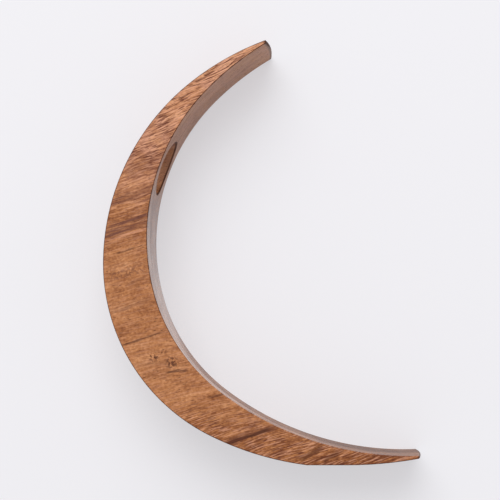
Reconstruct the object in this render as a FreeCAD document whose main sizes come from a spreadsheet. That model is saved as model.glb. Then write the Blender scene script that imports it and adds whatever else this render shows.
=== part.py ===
import FreeCAD, Part
import math
import os
import Sketcher
from FreeCAD import Vector

# A crescent bottle holder, sawn from one solid board and bored for the neck.
# It lies on its back side face: X runs across it, Y up from the foot to the upper
# tip, Z through the board. The origin is the middle of the outline, on the back face.

# Driving dimensions, in millimetres. Levels are heights above the foot along Y, and
# places across are measured from the outermost point of the back.
sizes = [
    ("overallHeight", 258.8, "foot to upper tip"),
    ("overallWidth", 192.6, "back to toe"),
    ("boardThickness", 50.0, "between the two side faces"),
    ("backLevel", 122.0, "where the outer edge is furthest out"),
    ("outerTipRadius", 165.0, "outer edge, next to the upper tip"),
    ("outerUpperRadius", 140.5, "outer edge, above the back"),
    ("outerLowerRadius", 116.5, "outer edge, below the back"),
    ("outerHeelRadius", 182.0, "outer edge, down to the foot"),
    ("footPlace", 123.0, "where the sawn foot starts"),
    ("footLength", 24.0, "the flat that it stands on when loaded"),
    ("toeRise", 4.4, "lower tip above the foot, at the end of a shallow hollow curve"),
    ("toeWidth", 1.3, "blunt end of the lower tip"),
    ("tipPlace", 102.4, "end of the upper tip"),
    ("upperTipWidth", 1.6, "blunt end of the upper tip"),
    ("tipBowRadius", 209.0, "rounding of both tips' ends, seen from above"),
    ("tipNoseLevel", 17.0, "where those ends reach furthest, above the back face"),
    ("waistWidth", 26.8, "outer edge to inner edge, where the inner edge is furthest in"),
    ("innerTipRadius", 178.0, "inner edge, next to the upper tip"),
    ("innerUpperRadius", 129.5, "inner edge, down the back"),
    ("innerMiddleRadius", 112.5, "inner edge, at the turn into the lower arm"),
    ("innerLowerRadius", 185.5, "inner edge, along the lower arm"),
    ("innerWaistLevel", 137.0, "where the inner edge is furthest in"),
    ("innerTurnLevel", 105.5, "where the inner edge starts to turn into the lower arm"),
    ("neckHoleDiameter", 32.0, "clears a bottle neck"),
    ("neckHoleLevel", 182.5, "axis of the hole above the foot"),
    ("rimEase", 1.2, "rounding of the hole's two rims"),
    ("edgeEase", 0.6, "rounding of all other sharp edges"),
]

fullTurn = 2 * math.pi
trimReach = 14.0     # how deep the trim of a tip goes, and past the tip
noseClear = 0.1      # the trim starts just short of the end, so no sliver of it is left
closeEnough = 0.01   # edges are told apart to this distance

# The points of a line or an arc go by numbers in a sketch, and so does the sketch's own
# horizontal axis, whose start is its origin.
start, end, centre = 1, 2, 3
origin = -1


def makeSheet(doc):
    sheet = doc.addObject("Spreadsheet::Sheet", "Sizes")
    for row, (name, value, note) in enumerate(sizes, start=1):
        sheet.set("A%d" % row, name)
        sheet.set("B%d" % row, str(value))
        sheet.set("C%d" % row, note)
        sheet.setAlias("B%d" % row, name)
    doc.recompute()
    return sheet


def originPlane(body, role):
    for feature in body.Origin.OriginFeatures:
        if feature.Role == role:
            return feature
    raise ValueError("no plane " + role)


def newSketch(body, name, role):
    sketch = body.newObject("Sketcher::SketchObject", name)
    sketch.AttachmentSupport = [(originPlane(body, role), "")]
    sketch.MapMode = "FlatFace"
    return sketch


def constrain(sketch, kind, *where, size=None):
    """Adds one constraint, and binds it to a size of the sheet if one is given."""
    index = sketch.addConstraint(Sketcher.Constraint(kind, *where))
    if size is not None:
        sketch.setExpression("Constraints[%d]" % index, size)


def angleOf(middle, point):
    """Direction from the middle of an arc to a point, from 0 to a full turn."""
    return math.atan2(point.y - middle.y, point.x - middle.x) % fullTurn


def addArc(sketch, middle, first, last):
    """An arc that runs counter-clockwise round its middle, from first to last."""
    circle = Part.Circle(middle, Vector(0, 0, 1), (first - middle).Length)
    arc = Part.ArcOfCircle(circle, angleOf(middle, first), angleOf(middle, last))
    return sketch.addGeometry(arc)


def addLine(sketch, first, last):
    return sketch.addGeometry(Part.LineSegment(first, last))


def blendCentre(middle, radius, point, blendRadius, hand):
    """Middle of the wider arc that passes the point and carries on from the given one.

    The hand is 1 if the wider arc comes after the given one, counter-clockwise, and -1
    if it comes before.
    """
    toPoint = point - middle
    gap = toPoint.Length
    side = blendRadius - radius
    along = (side ** 2 - blendRadius ** 2 + gap ** 2) / (2 * gap)
    across = math.sqrt(side ** 2 - along ** 2)
    ahead = toPoint / gap
    return middle + ahead * along + Vector(-ahead.y, ahead.x, 0) * across * hand


def jointOf(widerMiddle, middle, radius):
    """The point where two tangent arcs meet, on the line through both middles."""
    away = middle - widerMiddle
    return middle + away * (radius / away.Length)


def crescentPoints(s):
    """Corners, joints and middles of the arcs, measured from the middle of the outline."""
    left = -s["overallWidth"] / 2
    floor = -s["overallHeight"] / 2
    back = Vector(left, floor + s["backLevel"], 0)
    outerUpper = back + Vector(s["outerUpperRadius"], 0, 0)
    outerLower = back + Vector(s["outerLowerRadius"], 0, 0)
    heel = Vector(left + s["footPlace"], floor, 0)
    outerHeel = blendCentre(outerLower, s["outerLowerRadius"], heel, s["outerHeelRadius"], 1)
    footEnd = heel + Vector(s["footLength"], 0, 0)
    toeLow = Vector(-left, floor + s["toeRise"], 0)
    toeHigh = toeLow + Vector(0, s["toeWidth"], 0)
    reliefLength = toeLow.x - footEnd.x
    reliefRadius = (reliefLength ** 2 + s["toeRise"] ** 2) / (2 * s["toeRise"])
    relief = footEnd + Vector(0, reliefRadius, 0)
    tipHigh = Vector(left + s["tipPlace"], -floor, 0)
    tipLow = tipHigh - Vector(0, s["upperTipWidth"], 0)
    outerTip = blendCentre(outerUpper, s["outerUpperRadius"], tipHigh, s["outerTipRadius"], -1)
    innerX = left + s["waistWidth"] + s["innerUpperRadius"]
    innerUpper = Vector(innerX, floor + s["innerWaistLevel"], 0)
    innerTip = blendCentre(innerUpper, s["innerUpperRadius"], tipLow, s["innerTipRadius"], -1)
    turnY = floor + s["innerTurnLevel"]
    turnDrop = math.sqrt(s["innerUpperRadius"] ** 2 - (turnY - innerUpper.y) ** 2)
    turn = Vector(innerX - turnDrop, turnY, 0)
    toMiddle = (innerUpper - turn) * (s["innerMiddleRadius"] / s["innerUpperRadius"])
    innerMiddle = turn + toMiddle
    innerLower = blendCentre(
        innerMiddle, s["innerMiddleRadius"], toeHigh, s["innerLowerRadius"], 1)
    return {
        "back": back, "outerTip": outerTip, "outerUpper": outerUpper, "outerLower": outerLower,
        "outerHeel": outerHeel, "heel": heel, "footEnd": footEnd, "relief": relief,
        "toeLow": toeLow, "toeHigh": toeHigh, "tipHigh": tipHigh, "tipLow": tipLow,
        "innerTip": innerTip, "innerUpper": innerUpper, "turn": turn,
        "innerMiddle": innerMiddle, "innerLower": innerLower,
        "backJoint": jointOf(outerTip, outerUpper, s["outerUpperRadius"]),
        "heelJoint": jointOf(outerHeel, outerLower, s["outerLowerRadius"]),
        "hornJoint": jointOf(innerTip, innerUpper, s["innerUpperRadius"]),
        "armJoint": jointOf(innerLower, innerMiddle, s["innerMiddleRadius"]),
    }


def drawCrescent(body, s):
    """Closed outline of the board: arcs for its two edges, a short foot, and two blunt tips."""
    p = crescentPoints(s)
    sketch = newSketch(body, "CrescentOutline", "XY_Plane")
    tipOut = addArc(sketch, p["outerTip"], p["tipHigh"], p["backJoint"])
    upperOut = addArc(sketch, p["outerUpper"], p["backJoint"], p["back"])
    lowerOut = addArc(sketch, p["outerLower"], p["back"], p["heelJoint"])
    heelOut = addArc(sketch, p["outerHeel"], p["heelJoint"], p["heel"])
    foot = addLine(sketch, p["heel"], p["footEnd"])
    relief = addArc(sketch, p["relief"], p["footEnd"], p["toeLow"])
    toe = addLine(sketch, p["toeLow"], p["toeHigh"])
    tipIn = addArc(sketch, p["innerTip"], p["tipLow"], p["hornJoint"])
    upperIn = addArc(sketch, p["innerUpper"], p["hornJoint"], p["turn"])
    middleIn = addArc(sketch, p["innerMiddle"], p["turn"], p["armJoint"])
    lowerIn = addArc(sketch, p["innerLower"], p["armJoint"], p["toeHigh"])
    tip = addLine(sketch, p["tipLow"], p["tipHigh"])

    for first, firstEnd, second, secondEnd in (
        (upperOut, end, lowerOut, start), (heelOut, end, foot, start),
        (relief, end, toe, start), (toe, end, lowerIn, end),
        (tipIn, start, tip, start), (tip, end, tipOut, start),
    ):
        constrain(sketch, "Coincident", first, firstEnd, second, secondEnd)
    for first, second in (
        (tipOut, upperOut), (lowerOut, heelOut), (foot, relief),
        (tipIn, upperIn), (upperIn, middleIn), (middleIn, lowerIn),
    ):
        constrain(sketch, "Tangent", first, end, second, start)

    # the back is upright where the two outer arcs meet, and both ends are cut plumb
    constrain(sketch, "Horizontal", upperOut, centre, upperOut, end)
    constrain(sketch, "Horizontal", lowerOut, centre, lowerOut, start)
    constrain(sketch, "Horizontal", foot)
    constrain(sketch, "Vertical", toe)
    constrain(sketch, "Vertical", tip)

    for arc, name in (
        (tipOut, "outerTipRadius"), (upperOut, "outerUpperRadius"),
        (lowerOut, "outerLowerRadius"), (heelOut, "outerHeelRadius"),
        (tipIn, "innerTipRadius"), (upperIn, "innerUpperRadius"),
        (middleIn, "innerMiddleRadius"), (lowerIn, "innerLowerRadius"),
    ):
        constrain(sketch, "Radius", arc, s[name], size="Sizes." + name)

    halfWidth = s["overallWidth"] / 2
    halfHeight = s["overallHeight"] / 2
    innerPlace = s["waistWidth"] + s["innerUpperRadius"]
    for kind, where, value, size in (
        ("DistanceX", (upperOut, end, origin, start), halfWidth, "Sizes.overallWidth / 2"),
        ("DistanceX", (origin, start, toe, start), halfWidth, "Sizes.overallWidth / 2"),
        ("DistanceY", (foot, start, origin, start), halfHeight, "Sizes.overallHeight / 2"),
        ("DistanceY", (origin, start, tip, end), halfHeight, "Sizes.overallHeight / 2"),
        ("DistanceY", (foot, start, upperOut, end), s["backLevel"], "Sizes.backLevel"),
        ("DistanceX", (upperOut, end, foot, start), s["footPlace"], "Sizes.footPlace"),
        ("DistanceX", (foot, start, foot, end), s["footLength"], "Sizes.footLength"),
        ("DistanceY", (foot, end, toe, start), s["toeRise"], "Sizes.toeRise"),
        ("DistanceY", (toe, start, toe, end), s["toeWidth"], "Sizes.toeWidth"),
        ("DistanceX", (upperOut, end, tip, end), s["tipPlace"], "Sizes.tipPlace"),
        ("DistanceY", (tip, start, tip, end), s["upperTipWidth"], "Sizes.upperTipWidth"),
        ("DistanceX", (upperOut, end, upperIn, centre), innerPlace,
         "Sizes.waistWidth + Sizes.innerUpperRadius"),
        ("DistanceY", (foot, start, upperIn, centre), s["innerWaistLevel"],
         "Sizes.innerWaistLevel"),
        ("DistanceY", (foot, start, upperIn, end), s["innerTurnLevel"], "Sizes.innerTurnLevel"),
    ):
        constrain(sketch, kind, *where, value, size=size)
    return sketch, p


def sawBoard(body, outline):
    """The crescent at the full thickness of the board, from the back face forwards."""
    board = body.newObject("PartDesign::Pad", "Board")
    board.Profile = outline
    board.setExpression("Length", "Sizes.boardThickness")
    return board


def boreNeckHole(body, s):
    """A round hole level with the foot, through the upper wall, midway through the board."""
    sketch = newSketch(body, "NeckHoleCircle", "YZ_Plane")
    level = s["neckHoleLevel"] - s["overallHeight"] / 2
    middle = s["boardThickness"] / 2
    radius = s["neckHoleDiameter"] / 2
    circle = sketch.addGeometry(Part.Circle(Vector(level, middle, 0), Vector(0, 0, 1), radius))
    constrain(sketch, "DistanceX", origin, start, circle, centre, level,
              size="Sizes.neckHoleLevel - Sizes.overallHeight / 2")
    constrain(sketch, "DistanceY", origin, start, circle, centre, middle,
              size="Sizes.boardThickness / 2")
    constrain(sketch, "Diameter", circle, 2 * radius, size="Sizes.neckHoleDiameter")
    hole = body.newObject("PartDesign::Pocket", "NeckHole")
    hole.Profile = sketch
    hole.Type = "ThroughAll"
    hole.Reversed = False
    return hole


def roundEnd(body, s, name, endX, place, plane, downwards):
    """Rounds the end of a tip as seen from above, more at the front than at the back."""
    sketch = newSketch(body, name + "Line", "XZ_Plane")
    sketch.setExpression(".AttachmentOffset.Base.z", plane)
    thick = s["boardThickness"]
    radius = s["tipBowRadius"]
    middle = Vector(endX - noseClear - radius, s["tipNoseLevel"], 0)
    lowX = middle.x + math.sqrt(radius ** 2 - middle.y ** 2)
    highX = middle.x + math.sqrt(radius ** 2 - (thick - middle.y) ** 2)
    far = endX + trimReach
    bow = addArc(sketch, middle, Vector(lowX, 0, 0), Vector(highX, thick, 0))
    highLine = addLine(sketch, Vector(highX, thick, 0), Vector(far, thick, 0))
    farLine = addLine(sketch, Vector(far, thick, 0), Vector(far, 0, 0))
    lowLine = addLine(sketch, Vector(far, 0, 0), Vector(lowX, 0, 0))
    for first, second in ((highLine, farLine), (farLine, lowLine), (lowLine, bow), (bow, highLine)):
        constrain(sketch, "Coincident", first, end, second, start)
    constrain(sketch, "Horizontal", highLine)
    constrain(sketch, "Horizontal", lowLine)
    constrain(sketch, "Vertical", farLine)
    constrain(sketch, "PointOnObject", lowLine, end, origin)
    constrain(sketch, "Radius", bow, radius, size="Sizes.tipBowRadius")
    constrain(sketch, "DistanceX", bow, centre, origin, start, -middle.x,
              size="Sizes.tipBowRadius + %g - %s" % (noseClear, place))
    constrain(sketch, "DistanceY", origin, start, bow, centre, middle.y, size="Sizes.tipNoseLevel")
    constrain(sketch, "DistanceY", origin, start, highLine, start, thick,
              size="Sizes.boardThickness")
    constrain(sketch, "DistanceX", origin, start, farLine, start, far,
              size="%s + %g" % (place, trimReach))
    trim = body.newObject("PartDesign::Pocket", name)
    trim.Profile = sketch
    trim.Type = "Length"
    trim.Length = trimReach
    trim.Reversed = downwards
    return trim


def roundUpperTip(body, s, tip):
    place = "(Sizes.tipPlace - Sizes.overallWidth / 2)"
    return roundEnd(body, s, "TipBow", tip.x, place, "-Sizes.overallHeight / 2", True)


def roundToe(body, s, toe):
    place = "Sizes.overallWidth / 2"
    return roundEnd(body, s, "ToeBow", toe.x, place, "Sizes.overallHeight / 2", False)


def easeEdges(body, base, name, edges, size):
    """A small rounding, sanded along the given edges."""
    ease = body.newObject("PartDesign::Fillet", name)
    ease.Base = (base, edges)
    ease.setExpression("Radius", "Sizes." + size)
    return ease


def rimEdges(shape, s):
    """The two curved rims of the neck hole."""
    level = s["neckHoleLevel"] - s["overallHeight"] / 2
    radius = s["neckHoleDiameter"] / 2
    names = []
    for index, edge in enumerate(shape.Edges, start=1):
        point = edge.valueAt((edge.FirstParameter + edge.LastParameter) / 2)
        across = math.hypot(point.y - level, point.z - s["boardThickness"] / 2)
        box = edge.BoundBox
        onWall = abs(across - radius) < closeEnough
        if onWall and box.XLength > closeEnough and box.ZLength > radius:
            names.append("Edge%d" % index)
    return names


def outerEdges(shape, s, points):
    """The outlines of both side faces, and the cross edges of the two blunt tips."""
    thickness = s["boardThickness"]
    tipLevel = points["tipLow"].y - s["upperTipWidth"]
    toeX = points["toeLow"].x
    names = []
    for index, edge in enumerate(shape.Edges, start=1):
        box = edge.BoundBox
        flat = box.ZLength < closeEnough
        onFace = min(abs(box.ZMin), abs(box.ZMax - thickness)) < closeEnough
        atEnd = box.YMin > tipLevel or box.XMin > toeX - trimReach
        if (flat and onFace) or (atEnd and not flat):
            names.append("Edge%d" % index)
    return names


def checkDocument(doc):
    for item in doc.Objects:
        if "Invalid" in item.State or "Error" in item.State:
            raise RuntimeError("%s failed: %s" % (item.Name, item.State))


def checkRemoved(before, after, what):
    """A cut that points away from the wood takes nothing off, and shows no error."""
    removed = before.Shape.Volume - after.Shape.Volume
    print("%s takes off %.0f mm3" % (what, removed))
    if removed <= 0:
        raise RuntimeError(what + " cuts nothing")


def makeCrescent(doc, s):
    body = doc.addObject("PartDesign::Body", "CrescentStand")
    body.Label = "crescent_stand"
    outline, points = drawCrescent(body, s)
    board = sawBoard(body, outline)
    doc.recompute()
    hole = boreNeckHole(body, s)
    doc.recompute()
    checkRemoved(board, hole, "the neck hole")
    trimmed = roundUpperTip(body, s, points["tipHigh"])
    doc.recompute()
    checkRemoved(hole, trimmed, "the rounding of the upper tip")
    blunted = roundToe(body, s, points["toeLow"])
    doc.recompute()
    checkRemoved(trimmed, blunted, "the rounding of the toe")
    rims = easeEdges(body, blunted, "RimEase", rimEdges(blunted.Shape, s), "rimEase")
    doc.recompute()
    checkRemoved(blunted, rims, "the easing of the rims")
    eased = easeEdges(body, rims, "EdgeEase", outerEdges(rims.Shape, s, points), "edgeEase")
    doc.recompute()
    checkRemoved(rims, eased, "the easing of the outer edges")
    body.Placement = FreeCAD.Placement()
    return body


def main():
    doc = FreeCAD.newDocument("BottleHolder")
    sheet = makeSheet(doc)
    s = {name: float(sheet.get(name)) for name, value, note in sizes}
    parts = [makeCrescent(doc, s)]
    doc.recompute()
    checkDocument(doc)
    os.makedirs("parts", exist_ok=True)
    for part in parts:
        shape = part.Shape
        if shape.isNull() or not shape.isValid() or len(shape.Solids) != 1:
            raise RuntimeError(part.Label + " is not one sound solid")
        box = shape.optimalBoundingBox()
        print("%s %.2f x %.2f x %.2f mm, %.0f mm3" % (
            part.Label, box.XLength, box.YLength, box.ZLength, shape.Volume))
        shape.exportStep("parts/%s.step" % part.Label)


main()
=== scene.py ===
import math

import bmesh
import bpy
from mathutils import Matrix, Vector


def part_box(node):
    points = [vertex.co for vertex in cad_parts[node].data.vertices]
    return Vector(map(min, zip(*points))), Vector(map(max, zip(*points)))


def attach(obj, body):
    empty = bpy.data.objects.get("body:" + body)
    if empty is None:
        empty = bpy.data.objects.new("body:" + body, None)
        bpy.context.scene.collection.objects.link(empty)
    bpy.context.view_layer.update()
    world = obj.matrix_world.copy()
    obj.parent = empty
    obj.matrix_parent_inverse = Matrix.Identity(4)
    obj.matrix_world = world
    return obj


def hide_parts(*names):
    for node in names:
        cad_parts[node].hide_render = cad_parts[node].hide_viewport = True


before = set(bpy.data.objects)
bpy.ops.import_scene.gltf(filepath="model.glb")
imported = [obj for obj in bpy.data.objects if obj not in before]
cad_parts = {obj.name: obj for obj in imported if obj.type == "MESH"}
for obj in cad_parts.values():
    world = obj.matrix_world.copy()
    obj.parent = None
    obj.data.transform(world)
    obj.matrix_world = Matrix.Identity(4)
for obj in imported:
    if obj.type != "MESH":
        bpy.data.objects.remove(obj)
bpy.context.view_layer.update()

# A crescent stand of solid wood, lying on its back side face.
# X runs across it, Y from the foot up to the upper tip, Z through the board. All in metres.
boardLow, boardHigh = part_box("crescent_stand")
thickness = boardHigh.z - boardLow.z
tiny = 1e-5


# selecting and editing

def deselectAll():
    bpy.ops.object.select_all(action="DESELECT")


def makeActive(piece):
    deselectAll()
    piece.select_set(True)
    bpy.context.view_layer.objects.active = piece


def editing(piece, mode="EDGE"):
    makeActive(piece)
    bpy.ops.object.mode_set(mode="EDIT")
    bpy.ops.mesh.select_mode(type=mode)
    bpy.ops.mesh.select_all(action="DESELECT")


def doneEditing():
    bpy.ops.object.mode_set(mode="OBJECT")


def selectParts(piece, kind, wanted):
    # kind is verts, edges or faces; wanted looks at one of them and says whether it is selected
    mesh = bmesh.from_edit_mesh(piece.data)
    for part in getattr(mesh, kind):
        part.select = wanted(part)
    bmesh.update_edit_mesh(piece.data)


def liesOn(part, surface):
    # whether all the corners of a face or an edge are on a surface
    return all(surface(corner.co) for corner in part.verts)


def selectRims(piece, surfaces):
    # the edges where one face lies on the surface and its neighbour doesn't
    selectParts(piece, "edges", lambda edge: any(
        sum(liesOn(face, surface) for face in edge.link_faces) == 1 for surface in surfaces))


def easeSelected(width, segments):
    bpy.ops.mesh.bevel(
        offset=width, segments=segments, affect="EDGES", clamp_overlap=False, loop_slide=False)


def finishShell():
    # the mesh in hand is closed, and all its faces are turned outwards
    bpy.ops.mesh.select_all(action="SELECT")
    bpy.ops.mesh.normals_make_consistent(inside=False)
    doneEditing()


def applyModifier(piece, name):
    makeActive(piece)
    bpy.ops.object.modifier_apply(modifier=name)


def cutAway(piece, cutter, name):
    cut = piece.modifiers.new(name, "BOOLEAN")
    cut.operation = "DIFFERENCE"
    cut.solver = "EXACT"
    cut.object = cutter
    applyModifier(piece, name)
    bpy.data.objects.remove(cutter)


def singleEdge(name, x, y, z, length, turn):
    # a plane cut down to its left edge, which is what gets spun and pulled into walls
    deselectAll()
    bpy.ops.mesh.primitive_plane_add(size=length, location=(x + length / 2, y, z), rotation=turn)
    piece = bpy.context.object
    piece.name = name
    bpy.ops.object.transform_apply(location=True, rotation=True, scale=True)
    editing(piece, "VERT")
    selectParts(piece, "verts", lambda corner: corner.co.x > x + tiny)
    bpy.ops.mesh.delete(type="VERT")
    bpy.ops.mesh.select_mode(type="EDGE")
    bpy.ops.mesh.select_all(action="SELECT")
    return piece


# the outline, from the same driving sizes as the solid

crescent = {
    "overallHeight": 0.2588,
    "backLevel": 0.122,           # above the foot, where the outer edge is furthest out
    "outerTipRadius": 0.165,
    "outerUpperRadius": 0.1405,
    "outerLowerRadius": 0.1165,
    "outerHeelRadius": 0.182,
    "footPlace": 0.123,           # from the back
    "footLength": 0.024,
    "toeRise": 0.0044,            # of the shallow hollow between the foot and the toe
    "toeWidth": 0.0013,
    "tipPlace": 0.1024,           # from the back
    "upperTipWidth": 0.0016,
    "tipBowRadius": 0.209,        # the ends of both tips, seen from above
    "tipBowInset": 0.0001,        # of the bow's nose, from the plumb cut
    "tipNoseLevel": 0.017,        # above the back side face
    "tipReach": 0.014,            # of the block that cuts the bow
    "tipSteps": 24,
    "waistWidth": 0.0268,
    "innerTipRadius": 0.178,
    "innerUpperRadius": 0.1295,
    "innerMiddleRadius": 0.1125,
    "innerLowerRadius": 0.1855,
    "innerWaistLevel": 0.137,
    "innerTurnLevel": 0.1055,
    "neckHoleRadius": 0.016,
    "neckHoleLevel": 0.1825,
    "drillPlace": -0.07,          # x of its middle
    "drillLength": 0.08,
    "drillSides": 96,
    "rimEase": 0.0012,
    "rimSteps": 4,
    "rimRoom": 0.0028,            # that a rim needs beside the lines of the walls
    "rimMerge": 0.0004,           # distance at which two corners of a rim become one
    "edgeEase": 0.0006,
    "edgeSteps": 3,
    "degreesPerStep": 1.5,        # of the curved walls
    "smoothBelow": 40,            # degrees between faces
    "overcut": 0.001,             # how far a cutting block stands out of the board
}


def drop(radius, offset):
    return math.sqrt(radius ** 2 - offset ** 2)


def blendMiddle(middle, radius, point, widerRadius, hand):
    # the middle of the wider arc that passes the point and carries on from the given arc,
    # after it (hand 1) or before it (hand -1), counter-clockwise
    toPoint = point - middle
    gap = toPoint.length
    side = widerRadius - radius
    along = (side ** 2 - widerRadius ** 2 + gap ** 2) / (2 * gap)
    ahead = toPoint / gap
    return middle + ahead * along + Vector((-ahead.y, ahead.x)) * drop(side, along) * hand


def jointOf(widerMiddle, middle, radius):
    return middle + (middle - widerMiddle).normalized() * radius


def crescentOutline(sizes):
    # the two tips' outer corners, and the runs of the outline from the upper tip round:
    # each has the middle of its arc, or None where it is straight, and its end
    left, foot = boardLow.x, -sizes["overallHeight"] / 2
    tipHigh = Vector((left + sizes["tipPlace"], -foot))
    tipLow = tipHigh - Vector((0, sizes["upperTipWidth"]))
    back = Vector((left, foot + sizes["backLevel"]))
    heel = Vector((left + sizes["footPlace"], foot))
    footEnd = heel + Vector((sizes["footLength"], 0))
    toeLow = Vector((-left, foot + sizes["toeRise"]))
    toeHigh = toeLow + Vector((0, sizes["toeWidth"]))

    upperRadius, lowerRadius = sizes["outerUpperRadius"], sizes["outerLowerRadius"]
    outerUpper = back + Vector((upperRadius, 0))
    outerLower = back + Vector((lowerRadius, 0))
    outerTip = blendMiddle(outerUpper, upperRadius, tipHigh, sizes["outerTipRadius"], -1)
    outerHeel = blendMiddle(outerLower, lowerRadius, heel, sizes["outerHeelRadius"], 1)
    backJoint = jointOf(outerTip, outerUpper, upperRadius)
    heelJoint = jointOf(outerHeel, outerLower, lowerRadius)

    hollowLength = toeLow.x - footEnd.x
    hollowRadius = (hollowLength ** 2 + sizes["toeRise"] ** 2) / (2 * sizes["toeRise"])
    hollow = footEnd + Vector((0, hollowRadius))

    waistRadius, bellyRadius = sizes["innerUpperRadius"], sizes["innerMiddleRadius"]
    innerUpper = Vector(
        (left + sizes["waistWidth"] + waistRadius, foot + sizes["innerWaistLevel"]))
    turnLevel = foot + sizes["innerTurnLevel"]
    turn = Vector((innerUpper.x - drop(waistRadius, turnLevel - innerUpper.y), turnLevel))
    innerMiddle = turn + (innerUpper - turn) * (bellyRadius / waistRadius)
    innerTip = blendMiddle(innerUpper, waistRadius, tipLow, sizes["innerTipRadius"], -1)
    innerLower = blendMiddle(innerMiddle, bellyRadius, toeHigh, sizes["innerLowerRadius"], 1)
    hornJoint = jointOf(innerTip, innerUpper, waistRadius)
    armJoint = jointOf(innerLower, innerMiddle, bellyRadius)

    return tipHigh, toeLow, [
        (outerTip, backJoint), (outerUpper, back), (outerLower, heelJoint), (outerHeel, heel),
        (None, footEnd), (hollow, toeLow), (None, toeHigh),
        (innerLower, armJoint), (innerMiddle, turn), (innerUpper, hornJoint), (innerTip, tipLow),
        (None, tipHigh),
    ]


# the crescent

def spinRound(middle, first, last, degreesPerStep):
    a, b = first - middle, last - middle
    angle = math.atan2(a.x * b.y - a.y * b.x, a.dot(b))
    steps = max(2, round(math.degrees(abs(angle)) / degreesPerStep))
    # with no window, spin turns the other way
    bpy.ops.mesh.spin(
        steps=steps, angle=-angle, center=(middle.x, middle.y, 0), axis=(0, 0, 1))


def pull(x, y):
    bpy.ops.mesh.extrude_region_move(TRANSFORM_OT_translate={"value": (x, y, 0)})


def onBack(place):
    return abs(place.z - boardLow.z) < tiny


def onFront(place):
    return abs(place.z - boardHigh.z) < tiny


def sawBoard(start, runs, degreesPerStep):
    # one upright edge at the upper tip, swept all round the outline, then closed by two faces
    board = singleEdge(
        "crescent", start.x, start.y, thickness / 2, thickness, (math.pi / 2, 0, 0))
    for middle, end in runs:
        if middle is None:
            pull(end.x - start.x, end.y - start.y)
        else:
            spinRound(middle, start, end, degreesPerStep)
        start = end
    bpy.ops.mesh.select_all(action="SELECT")
    bpy.ops.mesh.remove_doubles(threshold=tiny)
    for side in (onBack, onFront):
        selectParts(board, "edges", lambda edge: liesOn(edge, side))
        bpy.ops.mesh.edge_face_add()
    finishShell()
    return board


def roundTip(board, sizes, corner):
    # a block with one bowed side takes off the end of a tip
    radius, noseZ, reach = sizes["tipBowRadius"], sizes["tipNoseLevel"], sizes["tipReach"]
    middleX = corner.x - sizes["tipBowInset"] - radius
    lowZ, highZ = boardLow.z - sizes["overcut"], boardHigh.z + sizes["overcut"]
    startX = middleX + drop(radius, lowZ - noseZ)
    angle = math.asin((highZ - noseZ) / radius) + math.asin((noseZ - lowZ) / radius)
    block = singleEdge("tipBlock", startX, corner.y, lowZ, 2 * reach, (0, 0, 0))
    bpy.ops.mesh.spin(
        steps=sizes["tipSteps"], angle=angle, center=(middleX, 0, noseZ), axis=(0, 1, 0))
    bpy.ops.mesh.select_all(action="SELECT")
    pull(reach, 0)
    finishShell()
    cutAway(board, block, "TipBow")

    def onBow(place):
        away = math.hypot(place.x - middleX, place.z - noseZ)
        return abs(place.y - corner.y) < reach and abs(away - radius) < 10 * tiny
    return onBow


def easeEdges(board, sizes, surfaces):
    editing(board)
    selectRims(board, surfaces)
    easeSelected(sizes["edgeEase"], sizes["edgeSteps"])
    doneEditing()


def boreNeckHole(board, sizes):
    level, radius = -sizes["overallHeight"] / 2 + sizes["neckHoleLevel"], sizes["neckHoleRadius"]
    middleZ = (boardLow.z + boardHigh.z) / 2

    def crowdsRim(edge):
        # a line of a wall that goes nearly all through the board, by either end of the hole
        first, last = (corner.co for corner in edge.verts)
        fromRim = abs(abs(first.y - level) - radius)
        through = abs(first.z - last.z) > 0.8 * thickness
        return through and first.x < 0 and fromRim < sizes["rimRoom"]
    editing(board)
    selectParts(board, "edges", crowdsRim)
    bpy.ops.mesh.dissolve_edges(use_verts=False)
    doneEditing()
    deselectAll()
    bpy.ops.mesh.primitive_cylinder_add(
        vertices=sizes["drillSides"], radius=radius, depth=sizes["drillLength"],
        location=(sizes["drillPlace"], level, middleZ), rotation=(0, math.pi / 2, 0))
    drill = bpy.context.object
    bpy.ops.object.transform_apply(location=True, rotation=True, scale=True)
    cutAway(board, drill, "NeckHole")

    def onBore(place):
        return abs(math.hypot(place.y - level, place.z - middleZ) - radius) < 2 * tiny
    editing(board)
    selectRims(board, [onBore])
    # where a line of the wall meets the rim close to a corner of the drill, the two become one
    bpy.ops.mesh.remove_doubles(threshold=sizes["rimMerge"])
    selectRims(board, [onBore])
    easeSelected(sizes["rimEase"], sizes["rimSteps"])
    mesh = bmesh.from_edit_mesh(board.data)
    rims = {face.index for face in mesh.faces if face.select}
    doneEditing()
    return onBore, rims


# the sanded corners: darkened partly by wear and partly by painted shade, and less so by painted
# light where they face up towards the lamp on the lower arm
edgeWearAndLight = {
    "tilts": (0.02, 0.98),        # of the sanded corners: 0 is a wall's, 1 a side face's
    "lookingUp": 0.1,             # how far a normal leans towards the upper tip
    "paleBelow": -0.035,          # y where the sanded corners begin to be paler, by painted light
    "paleSpan": 0.040,
    "palest": 0.85,
}


def markEasedEdges(board, onBore, rims):
    # "easedEdge" is 1 along the sanded corners, which are darkened partly by wear and partly by
    # painted shade, less where they look up from the lower arm towards the lamp, which is
    # painted light, and 0 on the wide faces and in the hole
    corners = board.data.vertices
    values = [1.0] * len(corners)
    wallTilt, sideTilt = edgeWearAndLight["tilts"]
    for face in board.data.polygons:
        tilted = wallTilt <= abs(face.normal.z) <= sideTilt
        inBore = all(onBore(corners[index].co) for index in face.vertices)
        wide = face.index not in rims and (inBore or not tilted)
        value = 0.0 if wide else 1.0
        if face.normal.y > edgeWearAndLight["lookingUp"] and not wide:
            low = min(1.0, max(0.0, (edgeWearAndLight["paleBelow"] - face.center.y) / edgeWearAndLight["paleSpan"]))
            value = 1.0 - edgeWearAndLight["palest"] * low
        for index in face.vertices:
            values[index] = min(values[index], value)
    mark = board.data.attributes.new("easedEdge", "FLOAT", "POINT")
    mark.data.foreach_set("value", values)


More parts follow.
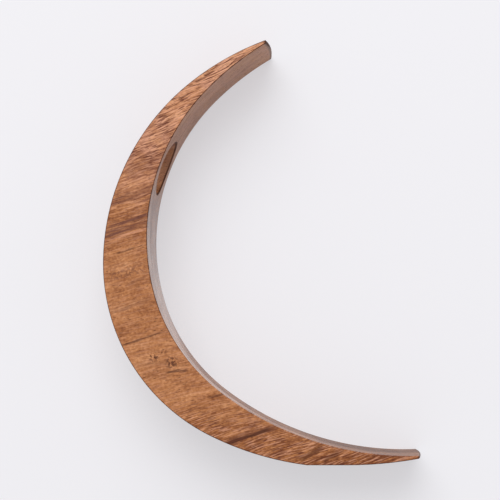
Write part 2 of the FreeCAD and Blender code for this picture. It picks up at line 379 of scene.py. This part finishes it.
def splitManySided(board):
    # walls with many corners become triangles, so that none of them folds over at the rims,
    # and the two side faces stay whole
    editing(board, "FACE")
    selectParts(
        board, "faces", lambda face: len(face.verts) > 4 and abs(face.normal.z) < 0.9)
    bpy.ops.mesh.quads_convert_to_tris(quad_method="BEAUTY", ngon_method="BEAUTY")
    doneEditing()


def makeCrescent():
    sizes = crescent
    tipHigh, toeLow, runs = crescentOutline(sizes)
    board = sawBoard(tipHigh, runs, sizes["degreesPerStep"])
    print("sawn:", len(board.data.polygons), "faces")
    onTip = roundTip(board, sizes, tipHigh)
    onToe = roundTip(board, sizes, toeLow)
    easeEdges(board, sizes, [onBack, onFront, onTip, onToe])
    onBore, rims = boreNeckHole(board, sizes)
    markEasedEdges(board, onBore, rims)
    splitManySided(board)
    makeActive(board)
    bpy.ops.object.shade_smooth_by_angle(angle=math.radians(sizes["smoothBelow"]))
    board.modifiers.new("FlatFaces", "WEIGHTED_NORMAL").keep_sharp = True
    applyModifier(board, "FlatFaces")
    print("crescent:", len(board.data.polygons), "faces")
    return board


# shader maths

class Wire:
    # a socket of a node tree, which can be used in sums: each adds its Math node

    def __init__(self, tree, socket=None):
        self.tree = tree
        self.socket = socket

    def add(self, kind, settings=None, inputs=None, output=0):
        node = self.tree.nodes.new(kind)
        for name, value in (settings or {}).items():
            if name == "stops":
                setStops(node.color_ramp, value)
            else:
                setattr(node, name, value)
        for name, value in (inputs or {}).items():
            if isinstance(value, Wire):
                self.tree.links.new(value.socket, node.inputs[name])
            else:
                node.inputs[name].default_value = value
        return Wire(self.tree, node.outputs[output] if node.outputs else None)

    def sibling(self, output):
        return Wire(self.tree, self.socket.node.outputs[output])

    def maths(self, operation, *values):
        return self.add("ShaderNodeMath", {"operation": operation}, dict(enumerate(values)))

    def __add__(self, other):
        return self.maths("ADD", self, other)

    def __sub__(self, other):
        return self.maths("SUBTRACT", self, other)

    def __rsub__(self, other):
        return self.maths("SUBTRACT", other, self)

    def __mul__(self, other):
        return self.maths("MULTIPLY", self, other)

    def __truediv__(self, other):
        return self.maths("DIVIDE", self, other)

    def __abs__(self):
        return self.maths("ABSOLUTE", self)

    def root(self):
        return self.maths("SQRT", self)

    __radd__ = __add__
    __rmul__ = __mul__

    def rise(self, low, high, least=0.0, most=1.0):
        # least below low and most above high, with a soft step between
        return self.add(
            "ShaderNodeMapRange", {"interpolation_type": "SMOOTHSTEP"},
            {"Value": self, "From Min": low, "From Max": high, "To Min": least, "To Max": most})

    def fall(self, low, high):
        return self.rise(low, high, 1.0, 0.0)

    def ramp(self, stops):
        return self.add("ShaderNodeValToRGB", {"stops": stops}, {"Fac": self})

    def tinted(self, colour, amount):
        # this colour with another laid over it, by the Mix node's own sockets for colours
        return self.add(
            "ShaderNodeMix", {"data_type": "RGBA"}, {0: amount, 6: self, 7: colour}, output=2)


def setStops(ramp, stops):
    # each stop has its place and a colour, or a number for a grey
    ramp.interpolation = "B_SPLINE"
    while len(ramp.elements) < len(stops):
        ramp.elements.new(1.0)
    for element, (place, colour) in zip(ramp.elements, stops):
        element.position = place
        element.color = colour if isinstance(colour, tuple) else (colour, colour, colour, 1.0)


def paint(red, green, blue):
    # a colour as it looks on a screen, 0 to 255, made linear
    return tuple(((c / 255 + 0.055) / 1.055) ** 2.4 for c in (red, green, blue)) + (1.0,)


# the wood: one solid block of grain that the crescent is cut from

wood = {
    # from the darkest strands to the palest
    "tones": [
        (0.00, paint(88, 44, 22)), (0.25, paint(134, 77, 43)), (0.50, paint(172, 110, 66)),
        (0.75, paint(199, 136, 90)), (1.00, paint(226, 166, 122)),
    ],

    # by height, 0 at the foot and 1 at the upper tip: how pale the plain wood is, partly its own
    # tone and partly painted light, which makes the upper part paler
    "paleness": [
        (0.00, 0.35), (0.09, 0.44), (0.17, 0.62), (0.38, 0.61), (0.50, 0.50), (0.60, 0.48),
        (0.75, 0.63), (0.89, 0.78), (0.97, 0.92), (1.00, 0.94),
    ],
    # how strongly it is figured
    "figure": [
        (0.00, 1.0), (0.07, 0.8), (0.14, 0.24), (0.45, 0.25), (0.58, 0.8), (0.68, 1.0),
        (1.00, 0.8),
    ],
    # how thickly it is dashed
    "dashing": [
        (0.00, 0.9), (0.09, 0.75), (0.16, 0.30), (0.48, 0.25), (0.60, 0.5), (0.70, 0.8),
        (0.86, 1.0), (1.00, 0.75),
    ],
    # how steeply the grain rises to the right
    "slope": [
        (0.00, 0.50), (0.07, 0.44), (0.15, 0.28), (0.25, 0.21), (0.42, 0.22), (0.56, 0.28),
        (0.70, 0.33), (0.80, 0.43), (0.90, 0.46), (1.00, 0.44),
    ],
    # how glossy the finish has stayed
    "gloss": [
        (0.00, 0.05), (0.12, 0.38), (0.25, 0.85), (0.45, 0.76), (0.60, 0.70), (0.72, 0.05),
        (1.00, 0.0),
    ],
    "blushFrom": (0.58, 0.78),    # the height from which the wood is pinker

    "slopeMiddle": -0.0813,       # x where the grain's levels are counted from
    "dive": 0.22,                 # how steeply the grain goes into the board
    "lean": 0.35,                 # how much the height counts in the distance along it
    "waves": [(0.060, 0.0035), (0.018, 0.0006)],    # length and height of the grain's waves
    "breadth": 2.5,               # of a marking into the board, in widths on its face

    # soft markings: length, width and strength
    "clouds": (0.024, 0.0070, 0.70),
    "strands": (0.020, 0.0018, 0.50),
    "fibres": (0.009, 0.0007, 0.90),
    "hairs": (0.014, 0.0004, 0.30),
    "speckle": (0.0015, 0.60),    # size and strength
    # sharp ones: length and width, where the noise begins and ends to count, strength
    "dashes": (0.0090, 0.00085, 0.535, 0.59, 0.75),
    "ticks": (0.0045, 0.0008, 0.57, 0.63, 0.50),
    "flecks": (0.0080, 0.0009, 0.55, 0.63, 0.55),
    "pores": (0.0030, 0.00035, 0.70, 0.80, 1.00),
    # patches: size, where the noise begins and ends to count, the least and the most they give
    "blushPatches": (0.014, 0.40, 0.62, 0.15, 0.40),
    "dashPatches": (0.012, 0.38, 0.58, 0.65, 1.00),
    "edgeWearAndShadePatches": (0.012, 0.30, 0.60, 0.65, 0.90),
    "crumbs": (0.0014, 0.47, 0.55, 0.00, 1.00),

    # on the walls: length, height, thickness into the board, strength
    "layers": (0.080, 0.040, 0.0040, 1.1),
    "lines": (0.040, 0.016, 0.0009, 0.9),
    "layerTilt": 0.05,
    "layerSwell": (0.070, 0.012),     # length and height
    "wallStart": (0.0004, 0.0014),    # behind the side faces
    "wallCalm": 0.6,                  # how much of the soft markings the walls lose
    "wallDashless": 0.8,              # and of the sharp ones
    # painted shade on the walls: how strongly they are darkened at the foot, and by how much
    # that changes from one height to another, least on the lower arm, which faces the lamp
    "wallShade": 0.40,
    "wallShadeSteps": [
        (0.02, 0.08, -0.20), (0.28, 0.48, 0.18), (0.60, 0.70, -0.18), (0.62, 0.80, 0.20),
    ],
    # the far half of the lower arm's wall is dull, and darkened by painted shade
    "dullDepth": (0.013, 0.023),      # behind the front side face
    "dullBelow": (0.23, 0.34),        # by height
    "dullShade": 0.30,
    "dullGlossLoss": 0.75,

    "blush": paint(216, 162, 146),
    "dashColour": paint(104, 54, 36),
    "fleckColour": paint(228, 168, 138),
    "poreColour": paint(80, 44, 28),
    "knotColour": paint(92, 50, 30),
    # the sanded corners' colour: partly wear, partly painted shade
    "edgeColour": paint(66, 32, 17),
    # the tips' ends: darker as end grain and by painted shade
    "endColour": paint(78, 56, 44),
    # the colour of the painted shade on the walls
    "wallShadeColour": paint(88, 60, 46),
    "poreTint": 0.8,
    "endTint": 0.6,
    "upperEnd": (0.0018, 0.0008),     # how deep the end grain's colour and its painted shade go
    "toeEnd": (0.0012, 0.0004),
    "upperEndFrom": (0.10, 0.11),     # y above which a bowed end is the upper tip's

    "layerGloss": 1.2,
    "edgeGlossLoss": 0.9,
    "faceGloss": 0.4,                 # of the side faces, beside the walls'
    "roughness": 0.42,
    "fibreRoughness": 0.3,
    "poreRoughness": 0.2,
    "edgeRoughness": 0.2,
    "coatRoughness": 0.16,
    "specular": 0.12,
    "dashHollow": 0.6,                # in the bump, where fibres and pores count 1
    "bumpStrength": 0.25,
    "bumpHeight": 0.0003,
}


def grainNoise(block, length, width, detail=1.0):
    # noise drawn out along the grain, from 0 to 1 and mostly near the middle
    along, across, deep = block
    vector = along.add("ShaderNodeCombineXYZ", None, {
        "X": along / length, "Y": across / width, "Z": deep / (wood["breadth"] * width)})
    return along.add("ShaderNodeTexNoise", None, {
        "Vector": vector, "Scale": 1.0, "Detail": detail})


def plainNoise(place, size):
    return place.add("ShaderNodeTexNoise", None, {
        "Vector": place, "Scale": 1.0 / size, "Detail": 1.0})


def layerNoise(place, y, z, block, name):
    # noise drawn out over the board's whole face: it shows as long lines on the walls
    length, height, thin, strength = wood[name]
    swellLength, swellHeight = wood["layerSwell"]
    deep = z - y * wood["layerTilt"] + plainNoise(place, swellLength) * swellHeight
    along, across = block[:2]
    vector = z.add("ShaderNodeCombineXYZ", None, {
        "X": along / length, "Y": across / height, "Z": deep / thin})
    noise = z.add("ShaderNodeTexNoise", None, {"Vector": vector, "Scale": 1.0, "Detail": 1.0})
    return (noise - 0.5) * strength


def grainBlock(place, x, y, z, level):
    # distance along the grain, across it and into the board, with its slow waves
    across = y - level.ramp(wood["slope"]) * (x - wood["slopeMiddle"]) + z * wood["dive"]
    for length, height in wood["waves"]:
        across = across + (plainNoise(place, length) - 0.5) * (2 * height)
    return x + y * wood["lean"], across, z - y * wood["dive"]


# dark streaks in the wood

streakLook = {
    "colours": {
        "dusk": paint(128, 80, 56), "plum": paint(106, 60, 49), "umber": paint(76, 38, 24),
        "pale": paint(206, 146, 118),
    },
    "ragged": (0.010, 0.0012),        # length and width of the wavering of the sides
    "waver": 0.0014,                  # how far that goes, beside the streak's own width
    "crispSide": (0.0005, 0.0003),    # outside and inside the lower side
    "ends": (0.34, 0.60),             # where they fade, in lengths from the middle
    "fadeFrom": 0.3,                  # of the way into the board
    "stripes": (0.020, 0.0011, 0.40, 0.58, 0.45, 1.0),    # length, width, then as in patches
}

# middle, length and width, slope in degrees, softness of the upper side, strength, colour,
# how far they go into the board, and how they are broken up, if at all
streaks = [
    {"at": (-0.0820, 0.0128), "size": (0.036, 0.0040), "slope": 16, "soft": 0.0045,
     "depth": 0.90, "colour": "plum", "reach": 0.020, "look": "striped"},
    {"at": (-0.0818, 0.0096), "size": (0.030, 0.0007), "slope": 16, "soft": 0.0006,
     "depth": 0.60, "colour": "pale", "reach": 0.010},
    {"at": (-0.0800, 0.0183), "size": (0.027, 0.0012), "slope": 18, "soft": 0.0010,
     "depth": 0.85, "colour": "plum", "reach": 0.012},
    {"at": (-0.0795, 0.0322), "size": (0.032, 0.0032), "slope": 19, "soft": 0.0040,
     "depth": 0.65, "colour": "plum", "reach": 0.015, "look": "striped"},
    {"at": (-0.0743, 0.0509), "size": (0.018, 0.0060), "slope": 20, "soft": 0.0050,
     "depth": 0.35, "colour": "dusk", "reach": 0.010},
    {"at": (-0.0823, -0.0001), "size": (0.012, 0.0006), "slope": 19, "soft": 0.0006,
     "depth": 0.60, "colour": "umber", "reach": 0.004},
    {"at": (-0.0807, -0.0129), "size": (0.026, 0.0050), "slope": 10, "soft": 0.0050,
     "depth": 0.60, "colour": "dusk", "reach": 0.010, "look": "crumbly"},
    {"at": (-0.0758, -0.0184), "size": (0.015, 0.0010), "slope": 25, "soft": 0.0010,
     "depth": 0.45, "colour": "dusk", "reach": 0.004},
    {"at": (-0.0787, -0.0336), "size": (0.030, 0.0022), "slope": 19, "soft": 0.0035,
     "depth": 0.55, "colour": "dusk", "reach": 0.012, "look": "striped"},
    {"at": (-0.0723, -0.0538), "size": (0.026, 0.0006), "slope": 18, "soft": 0.0007,
     "depth": 0.80, "colour": "umber", "reach": 0.006},
    {"at": (-0.0654, -0.0687), "size": (0.022, 0.0018), "slope": 6, "soft": 0.0020,
     "depth": 0.35, "colour": "dusk", "reach": 0.005},
    {"at": (-0.0513, -0.0733), "size": (0.013, 0.0010), "slope": 7, "soft": 0.0009,
     "depth": 0.80, "colour": "umber", "reach": 0.005},
    {"at": (-0.0275, -0.0879), "size": (0.012, 0.0007), "slope": 12, "soft": 0.0007,
     "depth": 0.55, "colour": "umber", "reach": 0.004},
    {"at": (-0.0090, -0.1122), "size": (0.037, 0.0028), "slope": 19, "soft": 0.0025,
     "depth": 0.80, "colour": "dusk", "reach": 0.008, "look": "striped"},
    {"at": (-0.0086, -0.1124), "size": (0.032, 0.0014), "slope": 19, "soft": 0.0012,
     "depth": 0.90, "colour": "umber", "reach": 0.006},
    {"at": (0.0291, -0.1227), "size": (0.016, 0.0022), "slope": 30, "soft": 0.0020,
     "depth": 0.65, "colour": "umber", "reach": 0.008},
    {"at": (0.0413, -0.1245), "size": (0.011, 0.0016), "slope": 30, "soft": 0.0016,
     "depth": 0.60, "colour": "umber", "reach": 0.006},
]


def mineralStreak(x, y, fromFront, raggedness, streak):
    # a band with a crisp lower side and a soft upper one, ragged along the grain
    turn = math.radians(streak["slope"])
    length, width = streak["size"]
    fromX, fromY = x - streak["at"][0], y - streak["at"][1]
    along = fromX * math.cos(turn) + fromY * math.sin(turn)
    across = fromY * math.cos(turn) - fromX * math.sin(turn)
    across = across + (raggedness - 0.5) * (width + streakLook["waver"])
    half, soft = width / 2, streak["soft"]
    outside, inside = streakLook["crispSide"]
    lower = across.rise(-half - outside, -half + inside)
    upper = across.fall(half - soft / 2, half + soft)
    ends = abs(along).fall(*(part * length for part in streakLook["ends"]))
    into = fromFront.fall(streakLook["fadeFrom"] * streak["reach"], streak["reach"])
    return lower * upper * ends * into * streak["depth"]


# small dark knots

knotLook = {
    "fade": (0.3, 1.0),           # towards the rim, in radii
    "fadeInto": (0.5, 1.5),       # and into the board
}

# middle, radius and strength
knots = [
    {"at": (-0.0652, -0.0646), "radius": 0.0042, "depth": 0.95},
    {"at": (-0.0542, -0.0679), "radius": 0.0056, "depth": 0.90},
    {"at": (-0.0600, -0.0616), "radius": 0.0030, "depth": 0.60},
]


def smallKnot(x, y, fromFront, crumbs, knot):
    # a disc of dark crumbs that thins out towards its rim
    fromX, fromY = x - knot["at"][0], y - knot["at"][1]
    away = (fromX * fromX + fromY * fromY).root()
    disc = away.fall(*(part * knot["radius"] for part in knotLook["fade"]))
    into = fromFront.fall(*(part * knot["radius"] for part in knotLook["fadeInto"]))
    return disc * into * crumbs * knot["depth"]


def endGrainAndShade(x, y, z):
    # 1 on the last millimetre of both tips, whose ends are bowed; there they are darker as end
    # grain and by painted shade
    fromNose = z - crescent["tipNoseLevel"]
    bowed = x + fromNose * fromNose * (0.5 / crescent["tipBowRadius"])
    tipX, toeX = boardLow.x + crescent["tipPlace"], boardHigh.x
    inside, outside = wood["upperEnd"]
    upper = bowed.rise(tipX - inside, tipX - outside) * y.rise(*wood["upperEndFrom"])
    inside, outside = wood["toeEnd"]
    return upper + bowed.rise(toeX - inside, toeX - outside)


def solidWood():
    material = bpy.data.materials.new("solidWood")
    material.use_nodes = True
    tree = material.node_tree
    tree.nodes.clear()
    start = Wire(tree)
    place = start.add("ShaderNodeTexCoord", output="Object")
    x = start.add("ShaderNodeSeparateXYZ", None, {"Vector": place})
    y, z = x.sibling("Y"), x.sibling("Z")
    level = (y - boardLow.y) / (boardHigh.y - boardLow.y)
    fromFront = boardHigh.z - z
    fromFace = thickness / 2 - abs(z - (boardLow.z + boardHigh.z) / 2)
    onWall = fromFace.rise(*wood["wallStart"])
    block = grainBlock(place, x, y, z, level)

    def marking(name):
        length, width, strength = wood[name]
        return (grainNoise(block, length, width) - 0.5) * strength

    def marks(name):
        length, width, low, high, strength = wood[name]
        return grainNoise(block, length, width, 0.0).rise(low, high, 0.0, strength)

    def patches(name):
        size, *bounds = wood[name]
        return plainNoise(place, size).rise(*bounds)

    # the plain wood
    size, strength = wood["speckle"]
    speckle = (plainNoise(place, size) - 0.5) * strength
    layers = layerNoise(place, y, z, block, "layers") + layerNoise(place, y, z, block, "lines")
    fibres = marking("fibres")
    fine = marking("strands") + fibres + marking("hairs")
    fine = fine * level.ramp(wood["figure"]) + speckle
    fine = fine * (1 - onWall * wood["wallCalm"]) + layers * onWall
    # the paleness by height carries some painted light towards the upper tip
    tone = level.ramp(wood["paleness"]) + marking("clouds") + fine
    colour = tone.ramp(wood["tones"])
    blush = patches("blushPatches") * level.rise(*wood["blushFrom"])
    colour = colour.tinted(wood["blush"], blush)
    dashing = level.ramp(wood["dashing"]) * (1 - onWall * wood["wallDashless"])
    colour = colour.tinted(wood["fleckColour"], marks("flecks") * dashing)

    # its streaks and knots
    raggedness = grainNoise(block, *streakLook["ragged"])
    crumbs = patches("crumbs")
    length, width, *bounds = streakLook["stripes"]
    looks = {"striped": grainNoise(block, length, width).rise(*bounds), "crumbly": crumbs}
    for streak in streaks:
        mask = mineralStreak(x, y, fromFront, raggedness, streak)
        if "look" in streak:
            mask = mask * looks[streak["look"]]
        colour = colour.tinted(streakLook["colours"][streak["colour"]], mask)
    for knot in knots:
        mask = smallKnot(x, y, fromFront, crumbs, knot)
        colour = colour.tinted(wood["knotColour"], mask)

    # dashes and pores over them
    dashes = (marks("dashes") + marks("ticks")) * dashing * patches("dashPatches")
    colour = colour.tinted(wood["dashColour"], dashes)
    pores = marks("pores")
    colour = colour.tinted(wood["poreColour"], pores * wood["poreTint"])

    # painted shade on the walls, the tips' ends darker as end grain and by painted shade, and
    # the sanded corners darker by wear and painted shade
    # a duller finish and painted shade on the far half of the lower arm's wall
    dullAndShaded = fromFront.rise(*wood["dullDepth"]) * level.fall(*wood["dullBelow"])
    tint = dullAndShaded * wood["dullShade"] + wood["wallShade"]
    for low, high, change in wood["wallShadeSteps"]:
        tint = tint + level.rise(low, high, 0.0, change)
    # painted shade on the walls, by height
    colour = colour.tinted(wood["wallShadeColour"], onWall * tint)
    # the tips' ends, darker as end grain and by painted shade
    colour = colour.tinted(wood["endColour"], endGrainAndShade(x, y, z) * wood["endTint"])
    # the sanded corners, darker partly by wear and partly by painted shade, in patches, and
    # paler by painted light where they face up on the lower arm
    eased = start.add("ShaderNodeAttribute", {"attribute_name": "easedEdge"}, output="Fac")
    colour = colour.tinted(wood["edgeColour"], eased * patches("edgeWearAndShadePatches"))

    gloss = level.ramp(wood["gloss"]) * (1 + layers * wood["layerGloss"])
    gloss = gloss * (wood["faceGloss"] + onWall * (1 - wood["faceGloss"]))
    gloss = gloss * (1 - eased * wood["edgeGlossLoss"]) * (1 - dullAndShaded * wood["dullGlossLoss"])
    roughness = wood["roughness"] + fibres * wood["fibreRoughness"]
    roughness = roughness + pores * wood["poreRoughness"] + eased * wood["edgeRoughness"]
    bump = start.add("ShaderNodeBump", None, {
        "Strength": wood["bumpStrength"], "Distance": wood["bumpHeight"],
        "Height": fibres - pores - dashes * wood["dashHollow"]})
    shader = start.add("ShaderNodeBsdfPrincipled", None, {
        "Base Color": colour, "Roughness": roughness, "Normal": bump,
        "Specular IOR Level": wood["specular"],
        "Coat Weight": gloss, "Coat Roughness": wood["coatRoughness"]})
    start.add("ShaderNodeOutputMaterial", None, {"Surface": shader})
    print("wood:", len(tree.nodes), "nodes")
    return material


# floor, light and camera

studio = {
    "floorColour": paint(240, 239, 243),
    "floorSize": 6.0,
    "floorRoughness": 0.9,
    "floorSpecular": 0.1,
    "shadowLift": 0.55,           # 0 is the full shadow, 1 none
    "worldStrength": 0.56,
    "keyPlace": (-0.30, 1.90, 2.30),
    "keySize": 2.6,
    "keyPower": 66.0,
}


def paleFloor():
    # as seen by the camera and in gloss, the floor keeps only part of the shadow
    material = bpy.data.materials.new("paleFloor")
    material.use_nodes = True
    tree = material.node_tree
    tree.nodes.clear()
    start = Wire(tree)
    ray = start.add("ShaderNodeLightPath", output="Is Camera Ray")
    seen = ray.maths("MAXIMUM", ray, ray.sibling("Is Glossy Ray"))
    seen = seen.maths("MAXIMUM", seen, ray.sibling("Is Transmission Ray"))
    lit = start.add("ShaderNodeBsdfPrincipled", None, {
        "Base Color": studio["floorColour"], "Roughness": studio["floorRoughness"],
        "Specular IOR Level": studio["floorSpecular"]})
    even = start.add("ShaderNodeEmission", None, {
        "Color": studio["floorColour"], "Strength": 1.0})
    mixed = start.add("ShaderNodeMixShader", None, {
        "Fac": seen * studio["shadowLift"], 1: lit, 2: even})
    start.add("ShaderNodeOutputMaterial", None, {"Surface": mixed})
    return material


def makeFloor():
    deselectAll()
    bpy.ops.mesh.primitive_plane_add(size=studio["floorSize"], location=(0, 0, boardLow.z))
    floor = bpy.context.object
    floor.name = "floor"
    floor.data.materials.append(paleFloor())


def makeLights():
    world = bpy.data.worlds.new("studioWorld")
    world.use_nodes = True
    background = world.node_tree.nodes["Background"]
    background.inputs["Color"].default_value = (1, 1, 1, 1)
    background.inputs["Strength"].default_value = studio["worldStrength"]
    bpy.context.scene.world = world
    lamp = bpy.data.lights.new("keyLight", "AREA")
    lamp.shape = "SQUARE"
    lamp.size = studio["keySize"]
    lamp.energy = studio["keyPower"]
    key = bpy.data.objects.new("keyLight", lamp)
    # it looks at the frame's origin
    key.location = studio["keyPlace"]
    key.rotation_euler = Vector(studio["keyPlace"]).to_track_quat("Z", "Y").to_euler()
    bpy.context.scene.collection.objects.link(key)


viewpoint = {
    "place": (0.0290, -0.05545, 0.8333),
    "aim": (-0.0068, -0.00035, 0.0500),    # what is seen at the middle of the image
    "roll": 0.25,                          # degrees
    "lens": 93.6,
}


def makeCamera():
    place, aim = Vector(viewpoint["place"]), Vector(viewpoint["aim"])
    roll = math.radians(viewpoint["roll"])
    back = (place - aim).normalized()
    right = Vector((math.sin(roll), math.cos(roll), 0)).cross(back).normalized()
    up = back.cross(right)
    lens = bpy.data.cameras.new("camera")
    lens.lens = viewpoint["lens"]
    camera = bpy.data.objects.new("camera", lens)
    turn = Matrix((right, up, back)).transposed().to_4x4()
    camera.matrix_world = Matrix.Translation(place) @ turn
    bpy.context.scene.collection.objects.link(camera)
    bpy.context.scene.camera = camera


board = makeCrescent()
board.data.materials.clear()
board.data.materials.append(solidWood())
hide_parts("crescent_stand")
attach(board, "root")
makeFloor()
makeLights()
makeCamera()
print("studio: floor, light and camera")
bpy.context.scene.view_settings.view_transform = "Standard"
print("scene ready")
